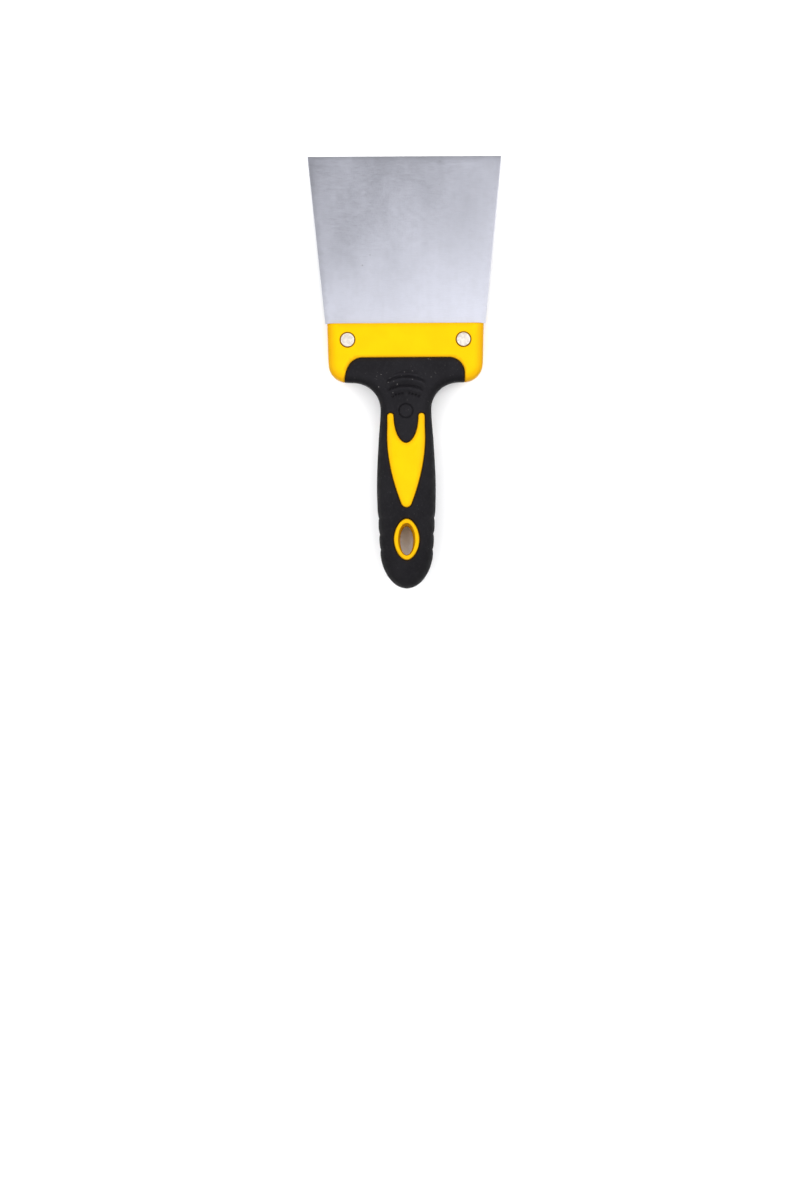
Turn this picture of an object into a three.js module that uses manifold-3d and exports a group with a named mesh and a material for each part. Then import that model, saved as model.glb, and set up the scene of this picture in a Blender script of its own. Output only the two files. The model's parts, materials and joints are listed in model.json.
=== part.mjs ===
// A 100 mm joint knife (a wide putty knife): a taper-ground steel blade riveted into the head of a hard
// plastic handle core, a rubber grip moulded over that core, and two semi-tubular rivets with washers.
// The core shows through the grip as a V on each side and as the lining of the hang hole.
//
// Millimetres. In the tool's own frame X runs across, Y towards the cutting edge and Z out of the front
// face; y = 0 is the head's top edge, where the blade goes in, and z = 0 is the blade's mid-plane.
// The exported group lays the tool on its back, as it rests on a table, with its box's bottom centre at 0.

import * as THREE from "three";
import { mergeVertices } from "three/addons/utils/BufferGeometryUtils.js";
import Module from "manifold-3d";

const wasm = await Module();
wasm.setup();

// ---------------------------------------------------------------- driving dimensions

const gap = 0.3; // between pieces that touch

// Blade
const edgeWidth = 100;
const shoulderWidth = 82.4; // where the blade stands on the head, a little wider than it
const bladeReach = 86.8; // from the head to the cutting edge
const bladeThickness = 0.8;
const groundThickness = 0.5; // after the taper grind
const grindStart = 8;
const bevelHeight = 2;
const edgeThickness = 0.24;
const tangWidth = 74;
const tangDepth = 16.5;

// Head of the core
const headWidth = 80.5;
const headFoot = 79.4; // the head narrows a little towards the handle
const headDepth = 30.4;
const headHalf = 5.5; // half its thickness
const headRound = 3.2; // radius along its sides and bottom
const headCorner = 9.5;

// Grip, outside
const gripTop = -18.1;
const gripHalfWidth = 30.5; // on the head
const gripCorner = 8;
const neckHalfWidth = 13;
const neckFillet = 14;
const buttEnd = -136.5;
const buttCentre = -114.7; // where the butt's round end starts
const buttHalfWidth = 13.9;
const handleRound = 11; // how deep the handle's round sides reach in
const gripRise = 0.6; // how far the grip stands above the head
const gripWall = 2.3; // rubber over the core

// Side grooves, three on each side
const grooveTop = -100.3;
const groovePitch = 8.1;
const grooveRadius = 3;
const grooveDepth = 0.6;

// Thumb ribs on the front: arcs of rings round one centre
const ribRadius = 19.5;
const ribRise = 0.45;
const ribs = [
  { top: -25.0, halfAngle: 19, width: 1.2 },
  { top: -28.1, halfAngle: 28, width: 1.8 },
  { top: -32.6, halfAngle: 27, width: 1.8 },
];

// Round button below the ribs, with a nub in its middle
const buttonCentre = -45.6;
const buttonRadius = 3.6;
const buttonTop = 9.25;
const nubRadius = 0.6;
const nubTop = 9.6;

// Hang hole
const eyeCentre = -111.9;
const eyeOuter = new THREE.Vector2(6.5, 10.6);
const eyeInner = new THREE.Vector2(4.0, 8.1);
const eyePower = 1.8; // a little more pointed than an ellipse
const eyeHalfDepth = 11.2; // half the length of its lining

// Rivets
const rivetX = 29.8;
const rivetY = -8.6;
const rivetHeadRadius = 3.5;
const rivetShankRadius = 1.95;
const rivetHeadThickness = 1.1;
const rivetBoreRadius = 1.3;
const rivetFlareRadius = 3.1;
const washerRadius = 3.9;
const washerThickness = 0.6;
const frontSeat = 4.7; // z of the floor of each front counterbore
const rearSeat = 4.0; // and how far behind the mid-plane each rear one lies

// The core's V, which stands a little proud of the grip
const islandProud = 0.25;
const hornX = 8;
const hornY = -48.3;
const hornRadius = 1.57;
const notchBottom = -62.3;
const islandFootY = -92.65;
const islandFootRadius = 2.75;
const islandFootSlant = THREE.MathUtils.degToRad(21); // of the sides where they meet the round foot

// ---------------------------------------------------------------- small helpers

// A closed three.js geometry as a manifold-3d solid.
function solid(geometry) {
  const bare = new THREE.BufferGeometry();
  bare.setAttribute("position", geometry.getAttribute("position").clone());
  if (geometry.index) bare.setIndex(geometry.index.clone());
  const merged = mergeVertices(bare, 1e-4);
  return new wasm.Manifold(
    new wasm.Mesh({
      numProp: 3,
      vertProperties: merged.attributes.position.array,
      triVerts: new Uint32Array(merged.index.array),
    }),
  );
}

// A manifold-3d solid as a named mesh.
function meshOf(name, made, material) {
  const { vertProperties, triVerts } = made.getMesh();
  const geometry = new THREE.BufferGeometry();
  geometry.setAttribute("position", new THREE.BufferAttribute(new Float32Array(vertProperties), 3));
  geometry.setIndex(new THREE.BufferAttribute(new Uint32Array(triVerts), 1));
  const mesh = new THREE.Mesh(geometry, material);
  mesh.name = name;
  return mesh;
}

// A shape in the XY plane as a solid from z = low to z = high.
function prism(shape, low, high, curveSegments = 10) {
  const depth = high - low;
  const geometry = new THREE.ExtrudeGeometry(shape, { depth, bevelEnabled: false, curveSegments });
  return solid(geometry.translate(0, 0, low));
}

function box(x0, x1, y0, y1, z0, z1) {
  const geometry = new THREE.BoxGeometry(x1 - x0, y1 - y0, z1 - z0);
  return solid(geometry.translate((x0 + x1) / 2, (y0 + y1) / 2, (z0 + z1) / 2));
}

// A cylinder along Z.
function post(x, y, radius, z0, z1, sides = 24) {
  const geometry = new THREE.CylinderGeometry(radius, radius, z1 - z0, sides);
  return solid(geometry.rotateX(Math.PI / 2).translate(x, y, (z0 + z1) / 2));
}

// The same solid on the rear face.
function onRear(made) {
  return made.mirror([0, 0, 1]);
}

function joined(solids) {
  return solids.reduce((all, next) => all.add(next));
}

function arcPoints(centreX, centreY, radius, from, to, steps) {
  return Array.from({ length: steps + 1 }, (_, i) => {
    const angle = THREE.MathUtils.degToRad(from + ((to - from) * i) / steps);
    return new THREE.Vector2(centreX + radius * Math.cos(angle), centreY + radius * Math.sin(angle));
  });
}

// An oval about the hang hole's centre, from a superellipse.
function ovalShape(halves, grow = 0, steps = 36) {
  const points = Array.from({ length: steps }, (_, i) => {
    const angle = (2 * Math.PI * i) / steps;
    const [c, s] = [Math.cos(angle), Math.sin(angle)];
    const power = 2 / eyePower;
    const x = (halves.x + grow) * Math.sign(c) * Math.abs(c) ** power;
    const y = eyeCentre + (halves.y + grow) * Math.sign(s) * Math.abs(s) ** power;
    return new THREE.Vector2(x, y);
  });
  return new THREE.Shape(points);
}

// ---------------------------------------------------------------- the body's outline and surface

// The right-hand edge of the head's foot, the neck, the handle and the butt, from the head down.
const handleSide = new THREE.SplineCurve([
  new THREE.Vector2(neckHalfWidth, -headDepth - neckFillet),
  new THREE.Vector2(13.3, -50),
  new THREE.Vector2(14.1, -60.4),
  new THREE.Vector2(14.7, -70.7),
  new THREE.Vector2(15.1, -81),
  new THREE.Vector2(15.1, -88),
  new THREE.Vector2(14.85, -96.5),
  new THREE.Vector2(14.4, -106),
  new THREE.Vector2(buttHalfWidth, buttCentre),
]);
const footCentre = headFoot / 2 - headCorner;
const filletCentre = neckHalfWidth + neckFillet;
const silhouette = [
  ...arcPoints(footCentre, headCorner - headDepth, headCorner, 0, -90, 6),
  ...arcPoints(filletCentre, -headDepth - neckFillet, neckFillet, 90, 180, 9),
  ...handleSide.getPoints(18).slice(1),
  ...Array.from({ length: 12 }, (_, i) => {
    const angle = ((i + 1) / 12) * (Math.PI / 2);
    const reach = buttCentre - buttEnd;
    return new THREE.Vector2(buttHalfWidth * Math.cos(angle), buttCentre - reach * Math.sin(angle));
  }),
];

const near = new THREE.Vector3();
const segment = new THREE.Line3();

// Distance from a point inside the outline to that edge.
function edgeDistance(x, y) {
  const point = new THREE.Vector3(Math.abs(x), y, 0);
  let least = Infinity;
  for (let i = 1; i < silhouette.length; i++) {
    segment.start.set(silhouette[i - 1].x, silhouette[i - 1].y, 0);
    segment.end.set(silhouette[i].x, silhouette[i].y, 0);
    segment.closestPointToPoint(point, true, near);
    least = Math.min(least, near.distanceTo(point));
  }
  return least;
}

// Half the body's width at y.
function outlineHalfWidth(y) {
  for (let i = 1; i < silhouette.length; i++) {
    const [a, b] = [silhouette[i - 1], silhouette[i]];
    if (y <= a.y && y >= b.y && a.y > b.y) {
      return THREE.MathUtils.mapLinear(y, a.y, b.y, a.x, b.x);
    }
  }
  return y > silhouette[0].y ? headFoot / 2 : 0;
}

// How far a point lies inside the grip's outline: the body's edge, and the seam with the head.
function insideGrip(x, y) {
  const across = Math.abs(x) - (gripHalfWidth - gripCorner);
  const along = y - (gripTop - gripCorner);
  const outside = Math.hypot(Math.max(across, 0), Math.max(along, 0));
  const seam = gripCorner - outside - Math.min(Math.max(across, along), 0);
  const within = Math.abs(x) < outlineHalfWidth(y) ? edgeDistance(x, y) : -edgeDistance(x, y);
  return Math.min(seam, within);
}

const smooth = THREE.MathUtils.smoothstep;
const lerp = THREE.MathUtils.lerp;

// Half the handle's thickness along its middle.
const thicknessCurve = new THREE.SplineCurve([
  new THREE.Vector2(0, headHalf + gripRise),
  new THREE.Vector2(gripTop, headHalf + gripRise),
  new THREE.Vector2(-31, 7.4),
  new THREE.Vector2(-46, 8.9),
  new THREE.Vector2(-62, 10.0),
  new THREE.Vector2(-76, 11.0),
  new THREE.Vector2(-88, 11.5),
  new THREE.Vector2(-101, 11.3),
  new THREE.Vector2(eyeCentre, 10.9),
  new THREE.Vector2(buttEnd, 10.4),
]).getPoints(90);

function middleThickness(y) {
  const i = Math.max(1, thicknessCurve.findIndex((p) => p.x <= y));
  const [a, b] = [thicknessCurve[i - 1], thicknessCurve[i]];
  return THREE.MathUtils.mapLinear(y, a.x, b.x, a.y, b.y);
}

// Height of the grip's outer skin over the mid-plane, or of a skin that lies inset under it.
function skinHeight(x, y, inset) {
  const onHead = 1 - smooth(-y, headDepth, headDepth + neckFillet);
  const away = smooth(Math.abs(x), 9, 27) * onHead;
  const full = lerp(middleThickness(y), headHalf + gripRise, away) - inset;
  const round = lerp(headRound, handleRound, smooth(-y, 28, 48)) - inset;
  const share = Math.min(1, Math.max(0, edgeDistance(x, y) - inset) / round);
  return full * (1 - (1 - share) ** 2.2) ** (1 / 2.2);
}

// ---------------------------------------------------------------- the grip's body

// The ys of its cross-sections: close together where the head's foot and the butt turn over.
function sectionHeights(top, inset) {
  const foot = -headDepth + inset;
  const overFoot = [4.6, 3.0, 1.8, 0.9, 0.35, 0.04].map((above) => foot + above);
  const underFoot = [0.5, 1.5, 3.2, 5.5, 8.5, 12].map((below) => foot - below);
  const corner = [0.5, 1.6, 3.4, 5.8].map((below) => gripTop - inset - below);
  const handle = Array.from({ length: 11 }, (_, i) => lerp(-48.5, buttCentre, i / 10));
  const reach = buttCentre - buttEnd - inset;
  const butt = [18, 36, 52, 66, 78, 86.5].map(
    (angle) => buttCentre - reach * Math.sin(THREE.MathUtils.degToRad(angle)),
  );
  return [top, ...corner, ...overFoot, ...underFoot, ...handle, ...butt].sort((a, b) => b - a);
}

function sectionHalfWidth(y, inset) {
  let [low, high] = [0, 40];
  for (let step = 0; step < 30; step++) {
    const middle = (low + high) / 2;
    if (insideGrip(middle, Math.min(y, gripTop - inset - 0.01)) >= inset) low = middle;
    else high = middle;
  }
  return low;
}

// The grip's body as one closed skin, inset all round. Above the grip's top it runs on as a straight block.
function gripBody(inset, top = gripTop) {
  const half = 8; // columns on each side of the middle
  const blockFrom = gripTop - inset - gripCorner;
  const rings = sectionHeights(top, inset).map((y) => {
    const reach = sectionHalfWidth(top > gripTop ? Math.min(y, blockFrom) : y, inset);
    const front = Array.from({ length: 2 * half + 1 }, (_, i) => {
      const x = reach * Math.sin((Math.PI * (i - half)) / (2 * half));
      const height = skinHeight(x, Math.min(y, gripTop), inset);
      return new THREE.Vector3(x, y, Math.max(height, 0.05));
    });
    const rear = front.map((p) => new THREE.Vector3(p.x, p.y, -p.z)).reverse();
    return [...front, ...rear];
  });
  return solid(closedSkin(rings));
}

// A closed geometry over rings of equal length, which run from +Y to -Y and clockwise seen from +Y.
function closedSkin(rings) {
  const count = rings[0].length;
  const index = [];
  const quad = (a, b, c, d) => index.push(a, b, c, a, c, d);
  for (let r = 1; r < rings.length; r++) {
    for (let i = 0; i < count; i++) {
      const next = (i + 1) % count;
      quad((r - 1) * count + i, r * count + i, r * count + next, (r - 1) * count + next);
    }
  }
  const last = (rings.length - 1) * count;
  for (let i = 0; i < count / 2 - 1; i++) {
    quad(i, i + 1, count - 2 - i, count - 1 - i);
    quad(last + i + 1, last + i, last + count - 1 - i, last + count - 2 - i);
  }
  const geometry = new THREE.BufferGeometry().setFromPoints(rings.flat());
  return geometry.setIndex(index);
}

// ---------------------------------------------------------------- pieces

function blade() {
  const profile = new THREE.Shape([
    new THREE.Vector2(-tangDepth, -bladeThickness / 2),
    new THREE.Vector2(grindStart, -bladeThickness / 2),
    new THREE.Vector2(bladeReach - bevelHeight, -groundThickness / 2),
    new THREE.Vector2(bladeReach, -edgeThickness / 2),
    new THREE.Vector2(bladeReach, edgeThickness / 2),
    new THREE.Vector2(bladeReach - bevelHeight, groundThickness / 2),
    new THREE.Vector2(grindStart, bladeThickness / 2),
    new THREE.Vector2(-tangDepth, bladeThickness / 2),
  ]);
  const sheet = new THREE.ExtrudeGeometry(profile, { depth: edgeWidth + 2, bevelEnabled: false });
  const turned = new THREE.Matrix4().makeBasis(
    new THREE.Vector3(0, 1, 0),
    new THREE.Vector3(0, 0, 1),
    new THREE.Vector3(1, 0, 0),
  );
  sheet.applyMatrix4(turned).translate(-edgeWidth / 2 - 1, 0, 0);

  const flare = (edgeWidth - shoulderWidth) / 2 / bladeReach;
  const outline = new THREE.Shape([
    new THREE.Vector2(-edgeWidth / 2 - flare, bladeReach + 1),
    new THREE.Vector2(-shoulderWidth / 2, gap),
    new THREE.Vector2(-tangWidth / 2, gap),
    new THREE.Vector2(-tangWidth / 2, -tangDepth - 1),
    new THREE.Vector2(tangWidth / 2, -tangDepth - 1),
    new THREE.Vector2(tangWidth / 2, gap),
    new THREE.Vector2(shoulderWidth / 2, gap),
    new THREE.Vector2(edgeWidth / 2 + flare, bladeReach + 1),
  ]);
  const holes = [-rivetX, rivetX].map((x) => post(x, rivetY, rivetShankRadius + gap, -2, 2));
  return solid(sheet).intersect(prism(outline, -2, 2)).subtract(joined(holes));
}

function headOutline() {
  const above = 8; // the head is cut square at y = 0
  const shape = new THREE.Shape();
  shape.moveTo(-headWidth / 2, above);
  shape.lineTo(-headFoot / 2, headCorner - headDepth);
  shape.absarc(-footCentre, headCorner - headDepth, headCorner, Math.PI, 1.5 * Math.PI);
  shape.absarc(footCentre, headCorner - headDepth, headCorner, 1.5 * Math.PI, 2 * Math.PI);
  shape.lineTo(headWidth / 2, above);
  shape.closePath();
  return shape;
}

function handleCore() {
  const plate = new THREE.ExtrudeGeometry(headOutline(), {
    depth: 2 * (headHalf - headRound),
    bevelThickness: headRound,
    bevelSize: headRound,
    bevelOffset: -headRound,
    bevelSegments: 4,
    curveSegments: 6,
  });
  const above = box(-60, 60, 0, 30, -20, 20);
  const gripSide = gripHalfWidth + gap;
  const underGrip = box(-gripSide, gripSide, -60, gripTop - gripCorner, -20, 20);
  const head = solid(plate.translate(0, 0, headRound - headHalf))
    .subtract(joined([above, underGrip, gripBody(-gap)]))
    .add(gripBody(gripWall, gripTop + 2));
  const slotHalf = bladeThickness / 2 + gap;
  const slot = box(-tangWidth / 2 - gap, tangWidth / 2 + gap, -tangDepth - gap, 5, -slotHalf, slotHalf);
  const rivetHoles = [-rivetX, rivetX].flatMap((x) => [
    post(x, rivetY, rivetShankRadius + gap, -10, 10),
    post(x, rivetY, rivetHeadRadius + gap, frontSeat, 10, 32),
    post(x, rivetY, washerRadius + gap, -10, -rearSeat, 32),
  ]);
  return joined([head, island(), onRear(island()), prism(ovalShape(eyeOuter), -eyeHalfDepth, eyeHalfDepth)])
    .subtract(joined([slot, prism(ovalShape(eyeInner), -20, 20), ...rivetHoles]));
}

// The V: two horns with round tips, a U between them, and sides that close to a round foot.
function islandShape(grow) {
  const tip = hornRadius + grow;
  const outer = hornX + tip;
  const notch = notchBottom + grow;
  const foot = islandFootRadius + grow;
  const straightTo = -54;
  const footX = foot * Math.cos(islandFootSlant);
  const footY = islandFootY - foot * Math.sin(islandFootSlant);
  const shape = new THREE.Shape();
  shape.moveTo(outer, hornY);
  shape.absarc(hornX, hornY, tip, 0, Math.PI);
  shape.bezierCurveTo(6.2 - grow, -58, 2.6 - grow, notch, 0, notch);
  shape.bezierCurveTo(-2.6 + grow, notch, -6.2 + grow, -58, tip - hornX, hornY);
  shape.absarc(-hornX, hornY, tip, 0, Math.PI);
  shape.lineTo(-outer, straightTo);
  shape.bezierCurveTo(-outer, -59, -10.1 - grow, -73, -footX, footY);
  shape.absarc(0, islandFootY, foot, Math.PI + islandFootSlant, 2 * Math.PI - islandFootSlant);
  shape.bezierCurveTo(10.1 + grow, -73, outer, -59, outer, straightTo);
  shape.closePath();
  return shape;
}

// The V on the front of the core.
function island() {
  return prism(islandShape(0), 2, 14).intersect(gripBody(-islandProud));
}

// The curved ribs under the thumb, rooted a little below the grip's skin.
function thumbRibs() {
  const skin = gripBody(-ribRise).subtract(gripBody(0.5));
  return ribs.map(({ top, halfAngle, width }) => {
    const centre = top - ribRadius;
    const outer = arcPoints(0, centre, ribRadius, 90 - halfAngle, 90 + halfAngle, 10);
    const inner = arcPoints(0, centre, ribRadius - width, 88 + halfAngle, 92 - halfAngle, 10);
    return prism(new THREE.Shape([...outer, ...inner]), 4, 14).intersect(skin);
  });
}

function sideGrooves() {
  return [0, 1, 2].flatMap((row) => {
    const y = grooveTop - row * groovePitch;
    const x = outlineHalfWidth(y) - grooveDepth + grooveRadius;
    return [-x, x].map((across) => post(across, y, grooveRadius, -14, 14, 20));
  });
}

function softGrip() {
  const window = prism(islandShape(gap), 1, 14);
  const eye = prism(ovalShape(eyeOuter, gap), -20, 20);
  const button = post(0, buttonCentre, buttonRadius, 6, buttonTop, 28);
  const nub = post(0, buttonCentre, nubRadius, 6, nubTop, 10);
  return joined([gripBody(0), ...thumbRibs(), button, nub])
    .subtract(joined([window, onRear(window), eye, ...sideGrooves()]))
    .subtract(gripBody(gripWall - gap, gripTop + 6));
}

// A semi-tubular rivet: flat head in front, and a hollow end rolled out over the washer behind.
function rivet(x) {
  const headTop = frontSeat + gap + rivetHeadThickness;
  const flareSeat = -rearSeat - gap - washerThickness - gap;
  const profile = [
    [0, headTop],
    [rivetHeadRadius - 0.8, headTop],
    [rivetHeadRadius, headTop - 0.4],
    [rivetHeadRadius, frontSeat + gap],
    [rivetShankRadius, frontSeat + gap],
    [rivetShankRadius, flareSeat],
    [rivetFlareRadius - 0.3, flareSeat],
    [rivetFlareRadius, flareSeat - 0.3],
    [rivetFlareRadius - 0.4, flareSeat - 0.75],
    [rivetBoreRadius + 0.5, flareSeat - 0.7],
    [rivetBoreRadius, flareSeat - 0.1],
    [rivetBoreRadius, flareSeat + 3],
    [0, flareSeat + 3.4],
  ].map(([radius, z]) => new THREE.Vector2(radius, z));
  const geometry = new THREE.LatheGeometry(profile.reverse(), 28);
  return solid(geometry.rotateX(Math.PI / 2).translate(x, rivetY, 0));
}

function washer(x) {
  const inner = rivetShankRadius + gap;
  const seat = -rearSeat - gap;
  const profile = [
    [inner, seat],
    [inner, seat - washerThickness],
    [washerRadius - 0.15, seat - washerThickness],
    [washerRadius, seat - washerThickness + 0.15],
    [washerRadius, seat],
    [inner, seat],
  ].map(([radius, z]) => new THREE.Vector2(radius, z));
  const geometry = new THREE.LatheGeometry(profile, 28);
  return solid(geometry.rotateX(Math.PI / 2).translate(x, rivetY, 0));
}

// ---------------------------------------------------------------- the assembly

const steel = new THREE.MeshStandardMaterial({ color: 0xb9bcc6, roughness: 0.38, metalness: 1 });
const rivetSteel = new THREE.MeshStandardMaterial({ color: 0xd9d6d2, roughness: 0.25, metalness: 1 });
const yellow = new THREE.MeshStandardMaterial({ color: 0xffd400, roughness: 0.45, metalness: 0 });
const black = new THREE.MeshStandardMaterial({ color: 0x26262a, roughness: 0.75, metalness: 0 });

const tool = new THREE.Group();
tool.add(
  meshOf("blade", blade(), steel),
  meshOf("handle_core", handleCore(), yellow),
  meshOf("soft_grip", softGrip(), black),
  meshOf("rivet_left", rivet(-rivetX), rivetSteel),
  meshOf("rivet_right", rivet(rivetX), rivetSteel),
  meshOf("washer_left", washer(-rivetX), rivetSteel),
  meshOf("washer_right", washer(rivetX), rivetSteel),
);

// On a table the tool lies on its back, leaning until its cutting edge and its belly touch the same plane.
const restingEdge = { y: bladeReach, z: -edgeThickness / 2 };
const corner = new THREE.Vector3();
let lean = 0;
for (const { geometry } of tool.children) {
  const points = geometry.getAttribute("position");
  for (let i = 0; i < points.count; i++) {
    corner.fromBufferAttribute(points, i);
    if (corner.y < 0) lean = Math.max(lean, Math.atan2(restingEdge.z - corner.z, restingEdge.y - corner.y));
  }
}
tool.rotation.x = -lean;
const resting = new THREE.Box3().setFromObject(tool, true);
const centre = resting.getCenter(new THREE.Vector3());
tool.position.set(-centre.x, -centre.y, -resting.min.z);

const part = new THREE.Group();
part.add(tool);

export default part;
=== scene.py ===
"""A 100 mm joint knife at full detail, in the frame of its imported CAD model.

Lengths are millimetres in the tool's own frame until a mesh is made: X runs across, Y towards the cutting
edge and Z out of the front face. y = 0 is the head's top edge, and z = 0 is the blade's mid-plane. Heights
are over that mid-plane.
"""
import json
import math

import bmesh
import bpy
import numpy as np
from mathutils import Matrix, Vector
from mathutils.geometry import delaunay_2d_cdt
from mathutils.kdtree import KDTree

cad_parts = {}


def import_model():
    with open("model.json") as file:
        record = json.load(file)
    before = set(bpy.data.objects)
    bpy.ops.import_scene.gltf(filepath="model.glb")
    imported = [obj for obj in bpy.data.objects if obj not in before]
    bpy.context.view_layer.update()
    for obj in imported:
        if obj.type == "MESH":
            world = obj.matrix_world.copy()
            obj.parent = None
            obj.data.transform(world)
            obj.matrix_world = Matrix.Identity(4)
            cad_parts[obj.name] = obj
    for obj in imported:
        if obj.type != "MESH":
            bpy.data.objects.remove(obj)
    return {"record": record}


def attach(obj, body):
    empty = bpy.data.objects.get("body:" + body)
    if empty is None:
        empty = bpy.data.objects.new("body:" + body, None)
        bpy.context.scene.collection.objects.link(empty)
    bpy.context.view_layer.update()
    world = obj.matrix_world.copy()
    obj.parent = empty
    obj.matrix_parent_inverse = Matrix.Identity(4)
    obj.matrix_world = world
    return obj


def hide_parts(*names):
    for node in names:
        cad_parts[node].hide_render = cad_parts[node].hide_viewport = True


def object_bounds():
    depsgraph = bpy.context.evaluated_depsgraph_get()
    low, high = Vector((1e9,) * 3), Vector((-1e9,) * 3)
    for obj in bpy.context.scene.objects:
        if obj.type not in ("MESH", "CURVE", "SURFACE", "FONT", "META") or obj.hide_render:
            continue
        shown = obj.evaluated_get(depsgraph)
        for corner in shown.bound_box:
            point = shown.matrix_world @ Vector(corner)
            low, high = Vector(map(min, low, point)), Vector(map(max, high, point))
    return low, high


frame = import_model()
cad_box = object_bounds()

MM = 0.001
BODY = "root"
WELD = 2e-7  # metres

# Blade
EDGE_WIDTH = 100.0
SHOULDER_WIDTH = 82.4
BLADE_REACH = 86.8
BLADE_HALF = 0.4
GROUND_HALF = 0.25
EDGE_HALF = 0.12
GRIND_START = 8.0
BEVEL_HEIGHT = 2.0
TANG_HALF_WIDTH = 37.0
TANG_DEPTH = 16.5
SHOULDER_Y = 0.1

# Head of the core
HEAD_WIDTH = 80.5
HEAD_FOOT = 79.4
HEAD_DEPTH = 30.2
HEAD_HALF = 5.5
HEAD_WALL = 1.9  # half the height of the upright stretch of its sides
HEAD_ROUND = 5.0
HEAD_TOP_ROUND = 0.45
HEAD_LIMIT = -HEAD_DEPTH - 0.5  # just below the head
HEAD_CORNER = 9.5

# Grip
GRIP_TOP = -17.95
GRIP_HALF_WIDTH = 30.2
GRIP_CORNER = 8.0
GRIP_RISE = 0.45
NECK = 13.0
FILLET = 14.0
BUTT_END = -136.5
BUTT_START = -114.7
BUTT_HALF = 13.9
HANDLE_ROUND = 11.0
FLAT_SIDES = (9, 27)  # across the head, where the grip's raised middle gives way to its flat sides
TO_HANDLE = (28, 48)  # down the tool, where the head's section turns into the handle's
WALL_END = (30, 44)  # down the tool, where the upright stretch of the sides runs out
ROUNDNESS = 2.2  # power of the superellipse that the sides follow
SEAM_GAP = 0.22
SEAM_LIP = 0.5
SEAM_TOE = 1.1  # how far the grip's left foot reaches out past the right one
BELOW = (40, -150)  # a place to the right of and below the whole tool

HANDLE_SIDE = [(NECK, -HEAD_DEPTH - FILLET), (13.3, -50), (14.1, -60.4), (14.7, -70.7), (15.1, -81),
               (15.1, -88), (14.85, -96.5), (14.4, -106), (BUTT_HALF, BUTT_START)]
# Half the thickness along the middle: (y, half)
CROWN = [(0, 6.1), (-18.5, 6.1), (-31, 7.4), (-46, 8.9), (-62, 10.0), (-76, 11.0), (-88, 11.5), (-101, 11.3),
         (-112.5, 10.9), (BUTT_END, 10.4)]

# Details of the grip
WINDOW_LIP = 0.45
SCALLOPS = [-100.2, -108.5, -116.4]
SCALLOP_DEPTH = 0.62
SCALLOP_WIDTH = 1.35
SCALLOP_FADE = (2.5, 7.0)  # in from the side
RIB_RADIUS = 19.5
RIBS = [(-25.2, 23, 0.5), (-27.75, 35, 0.85), (-32.5, 31, 0.85)]  # top, half angle and depth of each arc
RIB_FADE = 8  # degrees at each end of an arc
RIB_GROOVE = 0.6
BUTTON_CENTRE = -45.6
BUTTON_RADIUS = 3.6
BUTTON_RISE = 0.2
BUTTON_GROOVE = (0.5, 0.36)  # depth and width of the groove round it
NUB_RISE = 0.4  # of the small nub in its middle
DIMPLE_DEPTH = 0.6
DIMPLE_EDGE = (0.2, 0.85)
DIMPLE_PLACES = [(1.7, -36.6), (3.4, -36.9), (5.1, -37.4), (6.7, -38.2)]  # on the right half
DIMPLES = [(side * x, y) for side in (-1, 1) for x, y in DIMPLE_PLACES]

# The core's V and the lining of the hang hole
V_PROUD = 0.2
V_ROUND = 0.55
WINDOW_GAP = 0.28  # width of the groove between the rubber and the yellow parts that show through it
LEDGE = (0.02, 0.30)  # from where to where the core goes on outwards at the groove's foot
LEDGE_DEPTH = 1.6
LEDGE_LEAST = 0.5  # least half thickness of the head there
HORN_X, HORN_Y, HORN_RADIUS = 8.0, -48.3, 1.57
NOTCH_BOTTOM = -62.3
FOOT_Y, FOOT_RADIUS, FOOT_SLANT = -92.65, 2.75, 21
EYE_CENTRE = -111.9
# The ring round the hang hole as ovals: half width, half length, power of the superellipse
EYE_OUTER = (6.5, 10.6, 1.84)
EYE_INNER = (4.4, 8.4, 2.0)
EYE_THROAT = (3.3, 7.3, 2.0)
EYE_CROWN = 1.0  # how far its top falls to the outside
EYE_LIP = 0.35  # and to the hole
EYE_HALF = 11.2
EYE_LEDGE = 8.8  # below this height it goes on outwards
EYE_FLANGE = 0.18  # by this share of its width

# Rivets and washers
RIVET_X, RIVET_Y = 29.8, -8.6
RIVET_RADIUS = 3.5
RIVET_HEAD = 1.1
RIVET_DOME = 0.1
RIVET_ROUND = 0.4
SHANK_RADIUS = 1.95
SHANK_BORE = 1.3
BORE_DEPTH = 3.0
ROLLED_RADIUS = 0.36  # of the rolled end's lip
ROLLED_OUT, ROLLED_IN = 2.9, 1.75  # the radii that the lip turns round
WASHER_INNER = 2.25
WASHER_OUTER = 3.9
WASHER_THICK = 0.6
# How the washer's outer edge is worn: (in from the edge, down from the top)
WASHER_EDGE = [(0.15, 0), (0.02, 0.05), (0, 0.15), (0, 0.45), (0.04, 0.55), (0.15, WASHER_THICK)]
FIT_GAP = 0.3  # between pieces that touch on the real tool
COUNTERBORE = 4.0
REAR_COUNTERBORE = 4.2
FRONT_SEAT = 4.7
REAR_SEAT = 4.0


# ---------------------------------------------------------------- the frame

def tool_matrix():
    """From the tool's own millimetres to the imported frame, read off the rim of the hang hole."""
    rim = next(m for m in frame["record"]["mounts"] if m["name"] == "hang_rim_front")
    up = Vector(rim["axis"]).normalized()
    across = Vector((1, 0, 0))
    along = up.cross(across)
    turn = Matrix((across, along, up)).transposed()
    rim_point = Vector((rim["pos_m"][0] / MM, EYE_CENTRE, EYE_HALF)) * MM
    place = Vector(rim["pos_m"]) - turn @ rim_point
    return Matrix.Translation(place) @ turn.to_4x4() @ Matrix.Scale(MM, 4)


TOOL = tool_matrix()


# ---------------------------------------------------------------- flat curves

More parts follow.
